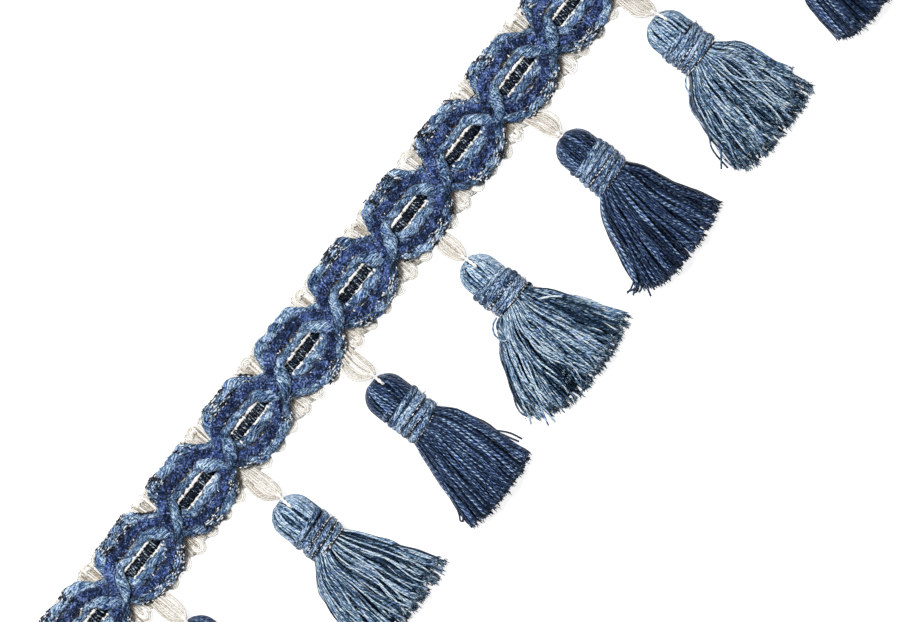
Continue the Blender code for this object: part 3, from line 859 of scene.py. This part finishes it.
for number, loop in enumerate(LOOPS):
    x = tassel_place(number)
    node = f"loop_{number}"
    threads = loop_rings(x, loop, 500 + 10 * number)
    thread_piece(f"loop_threads_{number}", threads, rng.uniform(0.50, 0.80, len(threads)), cream_yarn,
                 "loop_cream", [node], underside_shade=0.75)
    thread_piece(f"tie_{number}", tie_rings(x, *loop[4:]), [1.0, 1.1], cream_yarn, "loop_cream", [node])

# Heads and skirts: a hank of twisted rayon, folded over the tie, bound below the fold and cut to a skirt.
# Tassels 1, 3 and 5 are pale, the others navy. Some of the threads lie on top and are cut a little shorter.
HEAD_THREADS = 66
HEAD_THREAD = 0.32
SKIRT_THREADS = 235
SKIRT_THREAD = 0.33
SKIRT_STEPS = 16
SKIRT_CORE_SHORT = 2.6
# Steps of a spread that is even in two directions, for places across and up
ACROSS_STEP = 0.754877666
UP_STEP = 0.569840291
WISPS = 26
LOCKS = 40
CORE_TIP = 2.5
CORE_REST = 0.1
NECK_RADIUS = 4.9
NECK_HALF = 4.6
PALE_SHADES = ((0.0, (0.003, 0.008, 0.020)), (0.25, (0.016, 0.042, 0.084)), (0.5, (0.098, 0.195, 0.325)),
               (0.75, (0.38, 0.59, 0.76)), (1.0, (0.92, 1.0, 1.0)))
NAVY_SHADES = ((0.0, (0.003, 0.005, 0.012)), (0.35, (0.016, 0.029, 0.072)), (0.62, (0.055, 0.098, 0.22)),
               (0.85, (0.21, 0.33, 0.55)), (1.0, (0.54, 0.72, 0.92)))
RAYON_GLOSS = (0.45, 0.70, 1.0)
pale_rayon = yarn_finish("pale_rayon", PALE_SHADES, plies=2, pitch=1.8, valley_depth_and_shade=0.40, fibres=1.4, streak=3.2,
                         mottle=0.6, speckle=0.6, relief=0.18, roughness=0.36, gloss=RAYON_GLOSS,
                         patch=ULTRAMARINE)
navy_rayon = yarn_finish("navy_rayon", NAVY_SHADES, plies=2, pitch=1.5, valley_depth_and_shade=0.80, fibres=1.0, streak=2.3,
                         mottle=0.7, speckle=0.7, relief=0.16, roughness=0.38, gloss=RAYON_GLOSS,
                         patch=ULTRAMARINE)
# The tassels with even numbers, and those with odd ones. The pull is how far a thread is drawn to its lock,
# and the sways and the drift are sideways. The shades are the spread, the two powers and the least value
# of the beta draw for the skirt's tints, and the last is how far tinsel lies out of the wrap's grooves.
# Each kind also sets how much painted shade darkens the undersides of its threads.
KINDS = (
    {"slot": "tassel_navy", "rayon": navy_rayon, "pull": 0.12, "lock_sway": 0.7, "thread_sway": 0.3,
     "wisp_drift": 0.08, "wisp_sway": 0.8, "wisp_shade": 0.9, "shades": (1.55, 0.5, 1.4, 0.20),
     "underside_shade": 0.5, "end_fibres": 2, "glint_lift": 0.12},
    {"slot": "tassel_pale", "rayon": pale_rayon, "pull": 0.15, "lock_sway": 1.5, "thread_sway": 1.2,
     "wisp_drift": 0.14, "wisp_sway": 1.3, "wisp_shade": 1.1, "shades": (1.5, 0.6, 0.9, 0.04),
     "underside_shade": 1.2, "end_fibres": 5, "glint_lift": 0.38},
)
NO_GAP = 9.0
SKIRTS = (
    # left and right reach at the neck, halfway and at the tips, how much shorter the top threads are cut,
    # how much higher the left and right corners are cut, and the share across of a gap in the top threads
    (9.0, 7.0, 14.0, 10.0, 18.0, 13.0, 1.5, 4.0, 2.0, NO_GAP),
    (11.0, 7.0, 15.0, 10.9, 18.6, 15.3, 4.0, 4.0, 1.4, NO_GAP),
    (6.6, 8.3, 10.0, 10.0, 14.0, 10.7, 1.0, 1.5, 1.0, NO_GAP),
    (12.6, 7.6, 18.4, 11.5, 23.6, 15.7, 3.2, 8.0, 2.6, -0.22),
    (10.3, 7.6, 14.8, 8.8, 22.0, 13.2, 1.2, 6.6, 2.2, NO_GAP),
    (11.4, 10.0, 14.8, 11.8, 19.0, 13.6, 6.5, 4.2, 1.6, NO_GAP),
    (8.0, 7.0, 11.8, 10.0, 14.6, 13.0, 1.5, 4.0, 2.0, NO_GAP),
)
SKIRT_DEPTHS = (36.0, 40.8, 50.0, 65.4)
SKIRT_HEIGHTS = (11.2, 11.0, 10.4, 8.8)
SKIRT_CUT = 65.1


def round_axis(x, depth, radius, turn, rest):
    """Points round a tassel's axis: x + radius * cos(turn), and radius * sin(turn) above its height.

    They are raised to the rest where they would sink into the table.
    """
    height = AXIS_HEIGHT + radius * np.sin(turn)
    return points(x + radius * np.cos(turn), -depth, np.maximum(height, rest))


def skirt_outline(skirt, depth):
    """A skirt's middle, half width and top at each depth, read from its row and SKIRT_HEIGHTS."""
    left_top, right_top, left_mid, right_mid, left_tip, right_tip = skirt[:6]
    left = softened_curve(SKIRT_DEPTHS, (NECK_HALF, left_top, left_mid, left_tip), depth)
    right = softened_curve(SKIRT_DEPTHS, (NECK_HALF, right_top, right_mid, right_tip), depth)
    return (right - left) / 2, (right + left) / 2, softened_curve(SKIRT_DEPTHS, SKIRT_HEIGHTS, depth)


def head_rings(x, tie, size, end, seed):
    """Meridians of the head, from the pole down the dome and straight on to the wrap.

    They part along a seam under the tie: each is pushed away from the seam's angle, less so lower down.
    """
    draw = np.random.default_rng(seed)
    steps = 15
    seam = math.acos(tie / HEAD_RADIUS)
    turn = seam + math.tau * (np.arange(HEAD_THREADS)[:, None] + 0.5) / HEAD_THREADS
    turn = turn + draw.normal(0, 0.03, (HEAD_THREADS, 1))
    s = np.linspace(0, 1, steps)
    depth = HEAD_TOP + HEAD_THREAD + (end + 1.5 - HEAD_TOP - HEAD_THREAD) * s ** 1.35
    bumps = draw.normal(0, 0.10, (HEAD_THREADS, 1)) * s
    radius = np.maximum(size * dome_radius(depth) - HEAD_THREAD, 0.25) + bumps
    gap = np.mod(turn - seam + math.pi, math.tau) - math.pi
    push = 0.16 * np.sign(gap) * np.exp(-np.abs(gap) / 0.25) * (1.15 - s)
    phase, rate = draw.uniform(0, 6, (HEAD_THREADS, 1)), draw.uniform(0.6, 1.6, (HEAD_THREADS, 1))
    turn = turn + push + 0.06 * np.sin(s * math.pi * rate + phase)
    path = round_axis(x, depth, radius, turn, HEAD_THREAD)
    thick = HEAD_THREAD * (0.45 + 0.55 * dome_radius(depth) / HEAD_RADIUS)
    return tube_rings(path, points(np.cos(turn), 0, np.sin(turn)), thick, 5)


def core_rings(x, size):
    """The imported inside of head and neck: the head's own outline, 0.5 mm further in, on to the skirt."""
    depth = HEAD_TOP + np.array([0.5, 0.8, 1.5, 2.7, 4.2, 7.4, 8.4, 18.0, 20.0])
    radius = np.minimum(size * dome_radius(depth) - 0.5, NECK_RADIUS)
    radius[0], radius[-1] = 0.4, CORE_TIP
    turn = np.linspace(0, math.tau, 21)[:-1]
    return round_axis(x, depth[:, None], radius[:, None], turn, CORE_REST)[None]


def skirt_core(x, skirt):
    """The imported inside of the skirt: half ellipses on the table, well within the outline of its threads."""
    depth = np.linspace(SKIRT_DEPTHS[0], SKIRT_DEPTHS[-1] - SKIRT_CORE_SHORT, 14)[:, None]
    share = np.sin(np.linspace(0.5, math.pi - 0.9, 14))[:, None] ** 0.3
    middle, half, dome = skirt_outline(skirt, depth)
    turn = np.linspace(0, math.tau, 25)[:-1]
    dome = dome * (1 - 0.75 * smooth_step((depth - 54) / 7))
    top = 0.3 + 0.62 * share * dome * np.maximum(np.sin(turn), 0) ** 0.8
    return points(x + (middle + 0.72 * share * half * np.cos(turn)), -depth, top)[None]


def skirt_paths(x, skirt, f, g, end, sway, seed):
    """The run of threads with shares f across and g of the height, which may change along each thread.

    x = middle + half width * f, and height = g * top * sqrt(1 - 0.7 f^2). The sway moves the threads
    sideways, and grows towards the tips. They leave the neck round, and fan out to a dome on the table.
    """
    count, steps = g.shape
    s = np.linspace(0, 1, steps)[None]
    depth = SKIRT_DEPTHS[0] + (end[:, None] - SKIRT_DEPTHS[0]) * s
    middle, half, dome = skirt_outline(skirt, depth)
    across = middle + half * f + sway * s + 0.24 * slow_noise(count, steps, 2.2, seed + 1)
    dome = dome * np.sqrt(np.clip(1 - 0.7 * f ** 2, 0.1, 1))
    flat = SKIRT_THREAD + g * (dome - 2 * SKIRT_THREAD)
    round_half = np.sqrt(np.clip(NECK_RADIUS ** 2 - (NECK_HALF * f) ** 2, 0.1, None))
    round_height = AXIS_HEIGHT + round_half * (2 * g - 1)
    fan = smooth_step((depth - SKIRT_DEPTHS[0]) / 5)
    height = round_height * (1 - fan) + flat * fan + 0.55 * slow_noise(count, steps, 4, seed + 2) * s
    return points(x + across, -depth, np.maximum(height, 1.35 * SKIRT_THREAD))


def skirt_rings(x, skirt, kind, seed):
    """Threads of a skirt, evenly spread in width and height, and gathered a little into locks.

    A lock sways as one. Returns the rings, and for each thread its lock, its distance from it, its height
    share and how much it belongs to the gap in the top threads.
    """
    draw = np.random.default_rng(seed)
    count, steps = SKIRT_THREADS, SKIRT_STEPS
    order = np.arange(count)
    f = 2 * np.mod(order * ACROSS_STEP + draw.uniform(), 1) - 1
    g = np.mod(order * UP_STEP + draw.uniform(), 1) ** 0.8
    lock = draw.uniform((-1, 0), (1, 1), (LOCKS, 2))
    short = draw.uniform(0.4, 1.2, LOCKS)
    apart = np.sqrt((f[:, None] - lock[:, 0]) ** 2 + 0.5 * (g[:, None] - lock[:, 1]) ** 2)
    nearest = np.argmin(apart, axis=1)
    slant, left_cut, right_cut, gap = skirt[6:]
    arch = left_cut * np.maximum(-f, 0) ** 3 + right_cut * np.maximum(f, 0) ** 3
    end = SKIRT_CUT - arch - slant * short[nearest] * smooth_step((g - 0.35) / 0.5)
    hole = np.exp(-((f - gap) / 0.20) ** 4)
    end = end - 4.4 * hole * smooth_step((g - 0.45) / 0.2)
    end = end + draw.normal(0, 0.16, count)
    pull = kind["pull"] * smooth_step((np.linspace(0, 1, steps)[None] - 0.15) / 0.6)
    pull = pull * smooth_step(g / 0.6)[:, None]
    share = f[:, None] + pull * (lock[nearest, 0] - f)[:, None]
    rise = np.clip(g[:, None] + 0.5 * pull * (lock[nearest, 1] - g)[:, None], 0, 1)
    sway = kind["lock_sway"] * slow_noise(LOCKS, steps, 6, seed + 5)[nearest]
    sway = sway + kind["thread_sway"] * slow_noise(count, steps, 4.5, seed + 6)
    path = skirt_paths(x, skirt, share, rise, end, sway, seed + 1)
    thick = SKIRT_THREAD * draw.uniform(0.75, 1.15, (count, 1)) + 0.03 * slow_noise(count, steps, 3, seed + 4)
    return tube_rings(path, UP, thick, 5), nearest, apart.min(axis=1), g, hole


def wisp_rings(x, skirt, kind, seed):
    """Thin single threads on top of the skirt: each drifts across its neighbours on the way down."""
    draw = np.random.default_rng(seed)
    start = draw.uniform(-0.9, 0.9, (WISPS, 1))
    drift = draw.normal(0, kind["wisp_drift"], (WISPS, 1))
    f = np.clip(start + drift * np.linspace(-0.4, 1, SKIRT_STEPS), -1.02, 1.02)
    g = draw.uniform(0.97, 1.08, (WISPS, 1)) + 0 * f
    end = SKIRT_CUT - skirt[6] * draw.uniform(0.1, 1.0, WISPS) - 4 * np.abs(start[:, 0]) ** 3
    sway = kind["wisp_sway"] * slow_noise(WISPS, SKIRT_STEPS, 6, seed + 2)
    path = skirt_paths(x, skirt, f, g, end, sway, seed + 1)
    return tube_rings(path, UP, draw.uniform(0.20, 0.30, (WISPS, 1)), 5)


def end_fibres(rings, each, reach, seed):
    """The frayed ends: a few fibres from each thread's last ring, straight on and a little apart."""
    draw = np.random.default_rng(seed)
    foot = np.repeat(rings[:, -1].mean(axis=1), each, axis=0)
    run = unit(np.repeat((rings[:, -1] - rings[:, -2]).mean(axis=1), each, axis=0))
    count = len(foot)
    spread = draw.normal(0, 0.30, (count, 3))
    length = draw.uniform(0.2, 1.0, (count, 1)) * reach
    t = np.linspace(0, 1, 2)[None, :, None]
    path = (foot + 0.8 * spread - 0.5 * run)[:, None] + t * ((length + 0.5) * (run + 0.9 * spread))[:, None]
    path[..., 2] = np.maximum(path[..., 2], 0.15)
    return tube_rings(path, UP, 0.15 * (1 - 0.5 * t[..., 0]), 3)


for number, (shift, size, wrap_top, _, shade) in enumerate(HEADS):
    x = tassel_place(number) + shift
    kind = KINDS[number % 2]
    own = (kind["rayon"], kind["slot"], [f"tassel_{number}"])
    draw = np.random.default_rng(300 + number)
    head = head_rings(x, LOOPS[number][4] - shift, size, wrap_top, 310 + number)
    groups = slow_noise(1, HEAD_THREADS, 5, 312 + number).T
    tints = (shade + 0.14 * groups + draw.normal(0, 0.17, (HEAD_THREADS, 1))
             + 0.16 * slow_noise(HEAD_THREADS, head.shape[1], 3, 315 + number))
    thread_piece(f"head_{number}", head, np.clip(tints, 0, 1), *own, underside_shade=0.65)
    # Painted shade: the head's core is near black where it shows between the threads.
    thread_piece(f"core_{number}", core_rings(x, size), [0.05], *own)
    # Painted shade: the skirt's core is black where it shows between the threads.
    thread_piece(f"skirt_core_{number}", skirt_core(x, SKIRTS[number]), [-0.3], *own)
    skirt, lock, apart, top, hole = skirt_rings(x, SKIRTS[number], kind, 330 + 10 * number)
    spread, low_power, high_power, least = kind["shades"]
    mix = spread * draw.beta(low_power, high_power, len(skirt)) + least
    lock_shade = draw.normal(0, 0.15, LOCKS)[lock]
    # Painted shade: threads are darker away from their lock's middle, and lower down in the skirt.
    tints = (mix + lock_shade - 2.0 * (apart - 0.11) + 0.25 * (top - 0.75))[:, None]
    tints = tints + 0.16 * slow_noise(len(skirt), SKIRT_STEPS, 3, 335 + number)
    # Painted shadow: under the gap in the top threads, the threads darken towards their tips.
    tints = tints - hole[:, None] * smooth_step((np.arange(SKIRT_STEPS) - 12.3) / 1.2)
    thread_piece(f"skirt_{number}", skirt, np.clip(tints, 0.02, 1.1), *own, underside_shade=kind["underside_shade"])
    wisps = wisp_rings(x, SKIRTS[number], kind, 600 + 10 * number)
    tints = draw.uniform(0.3, kind["wisp_shade"], WISPS)
    thread_piece(f"wisps_{number}", wisps, tints, *own, underside_shade=0.4)
    ends = end_fibres(skirt, kind["end_fibres"], 0.3, 340 + number)
    thread_piece(f"skirt_ends_{number}", ends, draw.uniform(0.15, 0.95, len(ends)), *own)

# Strays: single threads that stand out of the skirts, bulge beside the wrap or cross the others.
# Each is one rayon thread along its own route.
STRAYS = (
    # tassel, shade, height, and the route as distances across and down from the tassel's place
    (2, 0.35, 4.0, ((8.0, 48.0), (9.4, 52.3), (10.8, 54.4), (11.8, 56.5), (12.4, 60.0))),
    (2, 0.30, 4.0, ((8.2, 54.0), (8.9, 57.6), (9.7, 60.7), (10.4, 63.9))),
    (2, 0.25, 3.4, ((8.6, 50.0), (9.8, 53.6), (10.5, 56.6), (11.4, 59.8))),
    (2, 0.40, 3.0, ((-10.2, 55.0), (-12.0, 58.2), (-13.2, 60.0), (-14.4, 60.9))),
    (2, 0.45, 3.0, ((-10.6, 53.5), (-12.3, 57.1), (-13.6, 59.2), (-14.9, 60.3), (-13.8, 61.0))),
    (3, 0.60, 10.4, ((-6.4, 34.9), (-8.6, 35.2), (-9.8, 36.1), (-10.7, 37.6), (-10.6, 39.6), (-9.6, 41.0))),
    (3, 0.45, 9.8, ((-6.0, 35.6), (-7.8, 35.9), (-9.0, 36.9), (-9.8, 38.4), (-10.2, 40.6))),
    (3, 0.70, 9.2, ((-5.8, 35.8), (-7.4, 36.4), (-8.8, 37.8), (-9.8, 39.6), (-10.6, 41.6))),
    (3, 0.30, 8.6, ((-5.4, 36.0), (-8.0, 36.4), (-9.6, 37.6), (-10.4, 39.2), (-11.6, 42.4))),
    (3, 0.55, 8.0, ((-5.6, 36.2), (-7.2, 37.0), (-8.6, 38.6), (-9.8, 40.6), (-11.0, 43.0))),
    (3, 1.10, 11.4, ((3.6, 40.4), (5.2, 41.6), (6.8, 43.1), (8.2, 45.2))),
    (4, 0.55, 3.0, ((-14.6, 55.6), (-16.8, 57.6), (-19.0, 58.3), (-20.8, 58.2))),
    (4, 0.75, 3.4, ((-15.0, 56.6), (-17.2, 58.6), (-19.4, 59.4), (-20.2, 60.0))),
    (4, 0.30, 2.6, ((-15.4, 57.4), (-17.4, 59.0), (-19.0, 58.9), (-20.4, 57.8))),
    (4, 0.40, 3.8, ((-15.0, 57.8), (-17.0, 59.2), (-18.6, 59.3), (-19.6, 58.2))),
    (4, 0.20, 2.2, ((-15.8, 58.0), (-17.6, 59.8), (-18.8, 60.0), (-19.4, 59.6))),
    (4, 0.35, 3.0, ((-15.2, 57.0), (-17.0, 58.6), (-18.4, 59.4), (-18.9, 60.2))),
    (4, 0.45, 2.6, ((-15.0, 58.4), (-16.6, 60.0), (-17.6, 60.6), (-18.6, 60.4))),
    (5, 0.15, 3.6, ((-12.6, 46.0), (-14.9, 50.0), (-17.0, 52.3), (-17.8, 55.0), (-18.5, 59.2))),
    (5, 0.12, 5.0, ((-8.4, 47.4), (-10.7, 49.7), (-14.4, 53.4), (-17.5, 55.8), (-20.1, 57.9))),
    (5, 0.70, 10.4, ((-5.0, 35.0), (-7.6, 35.8), (-9.3, 37.2), (-10.0, 39.6))),
    (5, 0.95, 11.6, ((0.4, 44.8), (1.4, 47.6), (3.4, 50.8), (5.5, 53.4))),
)
STRAY_STEPS = 18
STRAY_THREAD = 0.28


def stray_path(tassel, height, route):
    """The route's points joined by straight runs with softened corners, at one height."""
    corners = np.array(route)
    spans = np.hypot(*np.diff(corners, axis=0).T)
    places = np.concatenate([[0], np.cumsum(spans)])
    at = np.linspace(0, places[-1], STRAY_STEPS)
    across = softened_curve(places, corners[:, 0], at, 0.7)
    depth = softened_curve(places, corners[:, 1], at, 0.7)
    return points(tassel_place(tassel) + across, -depth, height)


for number in sorted({stray[0] for stray in STRAYS}):
    _, shades, heights, routes = zip(*(stray for stray in STRAYS if stray[0] == number))
    paths = np.array([stray_path(number, height, route) for height, route in zip(heights, routes)])
    kind = KINDS[number % 2]
    thread_piece(f"strays_{number}", tube_rings(paths, UP, STRAY_THREAD, 5), shades, kind["rayon"],
                 kind["slot"])

# Bindings: a soft pale roving, wound about five times round each neck, with a little tinsel between the
# turns. The turns lie askew and over one another.
WRAP_PITCH = 1.65
WRAP_RADIUS = 5.5
WRAP_REST = 0.95
WRAP_STEPS = 240
GROOVE_START = 100
GROOVE_STEPS_DOWN = (0.5, 0.75, 1.0)
GLINT_RADIUS = 0.17
GLINT_DARK = 0.66
ROVING = 0.93
BINDING_FUZZ = 330
roving = yarn_finish("bulky_denim_roving", BULKY_SHADES, pitch=22.0, fibres=4.6, streak=3.0, mottle=1.0,
                     speckle=2.2, **BULKY_LOOK)


def binding_path(x, wrap_top, wrap_end, seed):
    """A yarn round the neck, with depth = top + pitch * turns + a slow sideways drift.

    Each turn is tilted its own way. Also returns the outward direction at each step.
    """
    draw = np.random.default_rng(seed)
    steps = WRAP_STEPS
    turns = (wrap_end - wrap_top - 1.6) / WRAP_PITCH
    turn = np.linspace(0, turns * math.tau, steps) + draw.uniform(0, math.tau)
    drift = 0.30 * slow_noise(1, steps, 22, seed + 1)[0]
    depth = np.linspace(wrap_top + 0.8, wrap_end - 0.8, steps) + drift
    depth = depth + 0.85 * np.sin(turn + draw.uniform(0, 6)) * slow_noise(1, steps, 55, seed + 2)[0]
    radius = WRAP_RADIUS + 0.30 * slow_noise(1, steps, 16, seed + 3)[0]
    path = round_axis(x, depth, radius, turn, WRAP_REST)[None]
    return path, points(np.cos(turn), 0, np.sin(turn))[None]


def groove_threads(yarn, out, lift, seed):
    """Three thin tinsel threads that follow the lower part of a bound yarn, in the groove beside each turn.

    Each lies at path + lift * out + a side step towards the tips, and both wander by slow noise, so that
    it dips out of sight here and there.
    """
    middle = yarn[0, GROOVE_START:].mean(axis=1)
    steps = len(middle)
    fine = np.linspace(0, steps - 1, 5 * steps // 2)
    paths = []
    for strand, step_down in enumerate(GROOVE_STEPS_DOWN):
        raised = lift + 0.45 * slow_noise(1, steps, 4, seed + 3 + strand).T
        path = middle + raised * out[0, GROOVE_START:]
        path[:, 1] -= step_down + 0.3 * slow_noise(1, steps, 6, seed + strand)[0]
        paths.append(np.stack([np.interp(fine, np.arange(steps), path[:, axis]) for axis in range(3)], -1))
    return tube_rings(np.array(paths), UP, GLINT_RADIUS, 3)


for number, (shift, _, wrap_top, wrap_end, _) in enumerate(HEADS):
    seed = 1400 + 100 * number
    path, out = binding_path(tassel_place(number) + shift, wrap_top, wrap_end, seed)
    lumps = skin_noise(1, WRAP_STEPS, 12, 3, 5, seed + 10)
    thick = ROVING * (1 + 0.14 * slow_noise(1, WRAP_STEPS, 9, seed + 20)[..., None] + 0.09 * lumps)
    yarn = tube_rings(path, out, thick, 12, 0.85)
    # Painted light and shade: the roving is lighter where its lumps swell, over random tone.
    tints = 0.58 + 0.13 * slow_noise(1, WRAP_STEPS, 10, seed + 21)[..., None] + 0.16 * lumps
    thread_piece(f"binding_{number}", yarn, tints, roving, "wrap_pale", [f"wrap_{number}"], underside_shade=0.85)
    fuzz = hair_rings(yarn, BINDING_FUZZ, length=1.8, lean=0.9, radius=0.11, seed=seed + 22)
    thread_piece(f"binding_fuzz_{number}", fuzz, rng.beta(0.8, 0.8, len(fuzz)), bulky_yarn, "wrap_pale")
    glints = groove_threads(yarn, out, KINDS[number % 2]["glint_lift"], seed + 23)
    # The tinsel's bright spots are painted glints; the rest is its black foil.
    shades = (rng.uniform(0, 1, (*glints.shape[:2], 1)) > GLINT_DARK) * 0.8 + 0.1
    thread_piece(f"binding_tinsel_{number}", glints, shades, tinsel, "wrap_pale")
